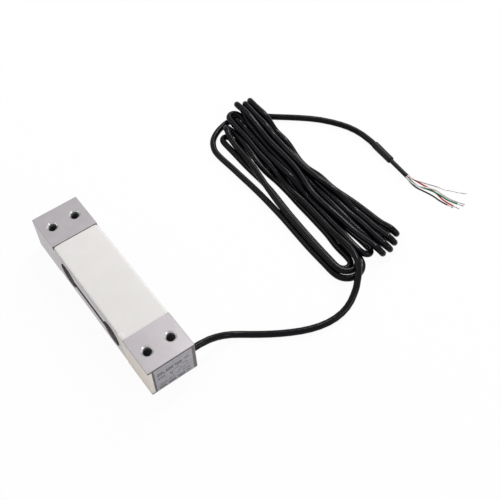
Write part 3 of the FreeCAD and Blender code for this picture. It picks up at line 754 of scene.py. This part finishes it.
def settle(plan):
    """Moves the turns apart, in millimetres, until they lie on the bench and each other."""
    diameter = CABLE_DIAMETER / MM
    rest = diameter + TURN_GAP_MM
    floor_z = diameter / 2
    shift = np.zeros_like(plan)
    free = np.ones((len(plan), 1))
    free[:HELD_AT_START] = 0
    free[-HELD_AT_END:] = 0
    skip = int(PAIR_SKIP_DIAMETERS * diameter / HANK_STEP_MM)
    for step in range(SETTLE_ROUNDS):
        early = 1 - step / SETTLE_ROUNDS
        line = plan + shift
        if step % PAIR_ROUNDS == 0:
            first, second = near_pairs(line, rest + PAIR_MARGIN_MM, skip)
        apart = line[second] - line[first]
        gap = np.linalg.norm(apart, axis=1)
        near = gap < rest
        push = apart[near] * ((rest - gap[near]) / (gap[near] + NO_LENGTH) * PUSH_SHARE)[:, None]
        moved = np.zeros_like(line)
        np.add.at(moved, first[near], -push)
        np.add.at(moved, second[near], push)
        lying = np.clip((SPRUNG_END_MM - np.abs(line[:, 0])) / SPRUNG_FADE_MM, 0, 1)
        moved[:, 2] -= SINK_MM * lying
        moved[:, 2] += np.maximum(floor_z - line[:, 2] - moved[:, 2], 0)
        shift += free * evened(moved, SPREAD_LAST + int(SPREAD_EXTRA * early)) * PUSH_GAIN
        shift *= 1 - HOLD * early
        shift[:, 2] = np.maximum(shift[:, 2], floor_z - plan[:, 2])
    return plan + shift


def nurbs(name, points, diameter, sides, steps):
    """A round cord along one open NURBS spline of order 3."""
    curve = bpy.data.curves.new(name, "CURVE")
    curve.dimensions = "3D"
    spline = curve.splines.new("NURBS")
    spline.points.add(len(points) - 1)
    for knot, point in zip(spline.points, points):
        knot.co = (*point, 1.0)
    spline.order_u = 3
    spline.use_endpoint_u = True
    curve.resolution_u = steps
    curve.bevel_depth = diameter / 2
    curve.bevel_resolution = sides
    curve.use_fill_caps = True
    cord = bpy.data.objects.new(name, curve)
    bpy.context.collection.objects.link(cord)
    return cord


def cable():
    """The whole cable as one cord: lead, hank and tail, with its two sleeves."""
    hank = settle(smooth_line(hank_plan(), HANK_STEP_MM))
    points = np.vstack([np.array(LEAD_MM[:-2]), hank, np.array(TAIL_MM[2:])]) * MM
    cord = nurbs("cable", points, CABLE_DIAMETER, sides=7, steps=2)
    cord.data.materials.append(MATERIALS["cable_jacket"])
    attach(cord, "root")
    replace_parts(cord, "cable_lead", "cable_hank", "cable_tail")
    large = shrunk_sleeve("sleeve_large", "cable_sleeve_large", 0.0, LARGE_SLEEVE_MM)
    thin = shrunk_sleeve("sleeve_thin", "cable_sleeve_thin", THIN_SLEEVE_START, THIN_SLEEVE_MM)


# ---------------------------------------------------------------- the free cores

SLEEVE_START = Vector((0.6, 235.6, 2.95)) * MM
SLEEVE_END = Vector((39.8, 233.4, 2.95)) * MM
SLEEVE_SIDES = 40
# How far out of round the sleeves are: oval, and three-sided.
OVAL, THREE_SIDED = 0.012, 0.006
THIN_SLEEVE_START = 0.0075
THIN_SLEEVE_LENGTH = 0.0318
# Places along each sleeve, and its radius there.
LARGE_SLEEVE_MM = [
    (0.0, 2.42), (0.02, 2.66), (0.2, 2.84), (0.8, 2.93), (2.2, 2.90), (3.6, 2.94), (5.4, 2.90),
    (7.2, 2.92), (8.6, 2.86), (10.5, 2.82), (13.0, 2.84), (15.6, 2.80), (17.8, 2.83), (19.2, 2.78),
    (19.8, 2.66), (20.0, 2.45), (19.9, 2.15), (19.4, 1.95), (18.0, 1.82),
]
THIN_SLEEVE_MM = [
    (0.0, 1.50), (0.2, 1.76), (8.0, 1.80), (12.4, 1.80), (13.4, 1.74), (15.8, 1.71), (18.4, 1.73),
    (21.2, 1.69), (24.5, 1.71), (27.6, 1.68), (30.2, 1.71), (31.5, 1.70), (31.75, 1.64),
    (31.8, 1.52), (31.6, 1.44), (29.0, 1.42),
]
# The ring in which the cores come out of the thin sleeve.
CORE_TUCK = 0.003
CORE_RING_RADIUS = 0.00087
CORE_STRAIGHT = 0.001
# The end of each core's bared tip.
TIPS_MM = {
    "red": (84.6, 243.9, 0.45), "green": (84.9, 248.4, 0.45),
    "white": (84.3, 250.1, 0.45), "black": (81.4, 241.2, 0.45),
}
TIP_STRANDS = 7
TIP_STRAND_RADIUS = 0.00009
TIP_STEPS = 18
TIP_TUCK = 0.0008
TIP_TWIST = 5.0
# The strands lie in a ring, which opens over the last part of the tip.
TIP_RING = 0.00022
TIP_OPENING = 0.00022
TIP_OPENS_AT = 0.6
TIP_RISE = 0.00024
TIP_LOWEST = 0.0001
ROD_SIDES = 8
# Each core's place in the ring in degrees, and its way from the sleeve.
CORES_MM = {
    "red": (20, [(45.6, 235.4, 2.7), (52.0, 238.2, 1.2), (59.0, 240.8, 0.5),
                 (66.0, 240.9, 0.5), (73.0, 240.2, 0.5), (80.2, 242.4, 0.5)]),
    "green": (308, [(45.4, 233.5, 1.7), (51.0, 234.7, 0.8), (56.5, 238.0, 0.9),
                    (62.5, 239.7, 1.9), (68.5, 241.2, 1.9), (74.5, 242.9, 0.6),
                    (80.8, 246.2, 0.5)]),
    "white": (164, [(45.6, 231.9, 2.6), (52.0, 233.6, 2.4), (57.4, 238.2, 2.7),
                    (63.0, 241.5, 3.0), (69.0, 243.0, 1.7), (75.0, 245.0, 0.6),
                    (80.2, 247.8, 0.5)]),
    "black": (236, [(45.2, 232.3, 1.3), (51.0, 232.8, 0.5), (57.5, 235.2, 0.5),
                    (64.5, 237.3, 0.5), (71.5, 237.9, 0.5), (77.0, 239.7, 0.5)]),
}
DRAIN_MM = (92, [(44.8, 234.3, 3.9), (50.4, 237.4, 3.3), (55.2, 242.0, 1.5), (60.5, 246.4, 0.4),
                 (65.8, 248.6, 0.4), (69.2, 252.0, 0.4), (74.2, 255.0, 0.4), (77.8, 258.6, 0.4)])


def core_start(angle):
    """Where a core comes from: its place in the ring inside the thin sleeve."""
    along = (SLEEVE_END - SLEEVE_START).normalized()
    mouth = SLEEVE_START + along * (THIN_SLEEVE_START + THIN_SLEEVE_LENGTH - CORE_TUCK)
    across = Vector((0, 0, 1)).cross(along).normalized()
    turn = math.radians(angle)
    shift = (across * math.cos(turn) + Vector((0, 0, math.sin(turn)))) * CORE_RING_RADIUS
    return [mouth + shift, mouth + shift + along * (CORE_TUCK + CORE_STRAIGHT)]


def shrunk_sleeve(name, node, offset, profile):
    """Heat-shrink tube, a little uneven along its length and out of round."""
    along = (SLEEVE_END - SLEEVE_START).normalized()
    across = Vector((0, 0, 1)).cross(along).normalized()
    up = along.cross(across)
    points = []
    for distance, radius in profile:
        centre = SLEEVE_START + along * (offset + distance * MM)
        for side in range(SLEEVE_SIDES):
            turn = 2 * math.pi * side / SLEEVE_SIDES
            uneven = 1 + OVAL * math.cos(2 * turn) + THREE_SIDED * math.sin(3 * turn + distance)
            reach = radius * MM * uneven
            points.append(centre + across * math.cos(turn) * reach + up * math.sin(turn) * reach)
    made = piece(name, points, rings(0, len(profile), SLEEVE_SIDES), "heat_shrink")
    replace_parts(made, node)
    return made


def rod(points, faces, line, radius):
    """Adds a thin round rod along a line to a mesh's points and faces."""
    first = len(points)
    for i, centre in enumerate(line):
        ahead = (line[min(i + 1, len(line) - 1)] - line[max(i - 1, 0)]).normalized()
        across = ahead.cross(Vector((0, 0, 1))).normalized()
        up = across.cross(ahead)
        for side in range(ROD_SIDES):
            turn = 2 * math.pi * side / ROD_SIDES
            points.append(centre + (across * math.cos(turn) + up * math.sin(turn)) * radius)
    faces += rings(first, len(line), ROD_SIDES)
    faces.append(tuple(range(first, first + ROD_SIDES)))
    faces.append(tuple(reversed(range(len(points) - ROD_SIDES, len(points)))))


def stranded_tip(colour):
    """The bared end of a core: twisted tinned strands that spread at the tip."""
    start = Vector(CORES_MM[colour][1][-1]) * MM
    before = Vector(CORES_MM[colour][1][-2]) * MM
    end = Vector(TIPS_MM[colour]) * MM
    start += (before - start).normalized() * TIP_TUCK
    along = (end - start).normalized()
    across = along.cross(Vector((0, 0, 1))).normalized()
    points, faces = [], []
    for strand in range(TIP_STRANDS):
        line = []
        for step in range(TIP_STEPS + 1):
            share = step / TIP_STEPS
            turn = 2 * math.pi * strand / (TIP_STRANDS - 1) + TIP_TWIST * share
            opening = TIP_OPENING * max(share - TIP_OPENS_AT, 0) / (1 - TIP_OPENS_AT)
            reach = 0.0 if strand == TIP_STRANDS - 1 else TIP_RING + opening
            centre = start.lerp(end, share) + across * math.cos(turn) * reach
            centre.z = max(centre.z + math.sin(turn) * min(reach, TIP_RISE), TIP_LOWEST)
            line.append(centre)
        rod(points, faces, line, TIP_STRAND_RADIUS)
    made = piece("tip_strands_" + colour, points, faces, "tinned_copper")
    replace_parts(made, "core_tip_" + colour)
    return made


def free_core(name, angle, route, diameter, slot, replaced, tips):
    """One of the wires that leave the thin sleeve, as a cord of its own."""
    lowest = diameter / 2 / MM
    points = core_start(angle) + [Vector((x, y, max(z, lowest))) * MM for x, y, z in route]
    cord = nurbs(name, points, diameter, sides=6, steps=8)
    cord.data.materials.append(MATERIALS[slot])
    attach(cord, "root")
    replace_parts(cord, replaced)


def cores():
    for colour, (angle, route) in CORES_MM.items():
        free_core("wire_" + colour, angle, route, CORE_DIAMETER, colour + "_insulation",
                  "core_" + colour, [stranded_tip(colour)])
    free_core("wire_drain", *DRAIN_MM, DRAIN_DIAMETER, "tinned_copper", "shield_drain_wire", [])


# ---------------------------------------------------------------- light and camera

CAMERA_PLACE = Vector((0.3076, -0.0998, 0.4886))
CAMERA_AIM = Vector((0.0211, 0.0997, 0.0))
CAMERA_ROLL = math.radians(2.02)
CAMERA_LENS = 60.44
SENSOR_WIDTH = 36.0
CLIP_START, CLIP_END = 0.01, 20.0
SKY_STRENGTH = 1.0
FILL_STRENGTH = 0.40
FLOOR_REACH = 3.0
FLOOR_GREY = 0.86
# The share of the floor's shade that the rays which see it get as plain white.
FLOOR_GLOW = 0.95
LAMPS_AIM = Vector((0.0, 0.1, 0.0))
# A strip high up at the far left, a soft box each side and one low strip in
# front: each one's place, size and power.
LAMPS = (
    ("long_strip", (-0.41, 0.74, 1.10), (0.13, 0.42), 8.0),
    ("soft_box", (-0.61, 1.01, 0.64), (0.5, 0.4), 3.4),
    ("near_strip", (-0.61, -0.56, 0.90), (0.4, 0.06), 1.7),
    ("right_box", (0.95, 0.67, 0.64), (0.4, 0.4), 3.0),
)
WHITE = (1.0, 1.0, 1.0, 1.0)


def camera():
    """The camera fitted to the photograph, in the part's own frame."""
    data = bpy.data.cameras.new("camera")
    data.lens = CAMERA_LENS
    data.sensor_width = SENSOR_WIDTH
    data.clip_start = CLIP_START
    data.clip_end = CLIP_END
    made = bpy.data.objects.new("camera", data)
    bpy.context.collection.objects.link(made)
    turn = (CAMERA_AIM - CAMERA_PLACE).to_track_quat("-Z", "Y").to_matrix().to_4x4()
    roll = Matrix.Rotation(-CAMERA_ROLL, 4, "Z")
    made.matrix_world = Matrix.Translation(CAMERA_PLACE) @ turn @ roll
    bpy.context.scene.camera = made


def background_rays(tree):
    """One for the rays that see the background: camera, glossy and transmission."""
    rays = tree.nodes.new("ShaderNodeLightPath")
    seen = rays.outputs["Is Camera Ray"]
    for name in ("Is Glossy Ray", "Is Transmission Ray"):
        either = tree.nodes.new("ShaderNodeMath")
        either.operation = "MAXIMUM"
        tree.links.new(seen, either.inputs[0])
        tree.links.new(rays.outputs[name], either.inputs[1])
        seen = either.outputs["Value"]
    return seen


def world():
    """White where the background is seen, and a weaker white as fill light."""
    made = bpy.data.worlds.new("studio")
    bpy.context.scene.world = made
    made.use_nodes = True
    tree = made.node_tree
    tree.nodes.clear()
    white = tree.nodes.new("ShaderNodeBackground")
    white.inputs["Strength"].default_value = SKY_STRENGTH
    fill = tree.nodes.new("ShaderNodeBackground")
    fill.inputs["Strength"].default_value = FILL_STRENGTH
    both = tree.nodes.new("ShaderNodeMixShader")
    out = tree.nodes.new("ShaderNodeOutputWorld")
    for shade in (white, fill):
        shade.inputs["Color"].default_value = WHITE
    tree.links.new(background_rays(tree), both.inputs["Fac"])
    tree.links.new(fill.outputs[0], both.inputs[1])
    tree.links.new(white.outputs[0], both.inputs[2])
    tree.links.new(both.outputs[0], out.inputs["Surface"])


def floor():
    """A white bench that keeps a faint shadow and is left out of the object."""
    mesh = bpy.data.meshes.new("floor")
    signs = ((-1, -1), (1, -1), (1, 1), (-1, 1))
    corners = [(x * FLOOR_REACH, y * FLOOR_REACH, 0) for x, y in signs]
    mesh.from_pydata(corners, [], [(0, 1, 2, 3)])
    made = bpy.data.objects.new("floor", mesh)
    bpy.context.collection.objects.link(made)
    material = bpy.data.materials.new("floor")
    material.use_nodes = True
    tree = material.node_tree
    tree.nodes.clear()
    matt = tree.nodes.new("ShaderNodeBsdfDiffuse")
    matt.inputs["Color"].default_value = (FLOOR_GREY, FLOOR_GREY, FLOOR_GREY, 1.0)
    glow = tree.nodes.new("ShaderNodeEmission")
    glow.inputs["Color"].default_value = WHITE
    share = tree.nodes.new("ShaderNodeMath")
    share.operation = "MULTIPLY"
    share.inputs[1].default_value = FLOOR_GLOW
    both = tree.nodes.new("ShaderNodeMixShader")
    out = tree.nodes.new("ShaderNodeOutputMaterial")
    tree.links.new(background_rays(tree), share.inputs[0])
    tree.links.new(share.outputs["Value"], both.inputs["Fac"])
    tree.links.new(matt.outputs[0], both.inputs[1])
    tree.links.new(glow.outputs[0], both.inputs[2])
    tree.links.new(both.outputs[0], out.inputs["Surface"])
    mesh.materials.append(material)


def lamp(name, place, size, power):
    """An area lamp that faces the object, its width as near the X axis as it can be."""
    data = bpy.data.lights.new(name, "AREA")
    data.shape = "RECTANGLE"
    data.size, data.size_y = size
    data.energy = power
    made = bpy.data.objects.new(name, data)
    bpy.context.collection.objects.link(made)
    back = (place - LAMPS_AIM).normalized()
    across = Vector((1.0, 0.0, 0.0)) - back * back.x
    across.normalize()
    along = back.cross(across)
    turn = Matrix((across, along, back)).transposed().to_4x4()
    made.matrix_world = Matrix.Translation(place) @ turn


bpy.context.scene.view_settings.view_transform = "Standard"
dress_nodes()
camera()
world()
floor()
for lamp_name, lamp_place, lamp_size, lamp_power in LAMPS:
    lamp(lamp_name, Vector(lamp_place), lamp_size, lamp_power)
tapped_holes()
silicone_sheet("top_silicone", "top_potting", 1)
silicone_sheet("bottom_silicone", "bottom_potting", -1)
potting_swell()
label_print()
cable()
cores()
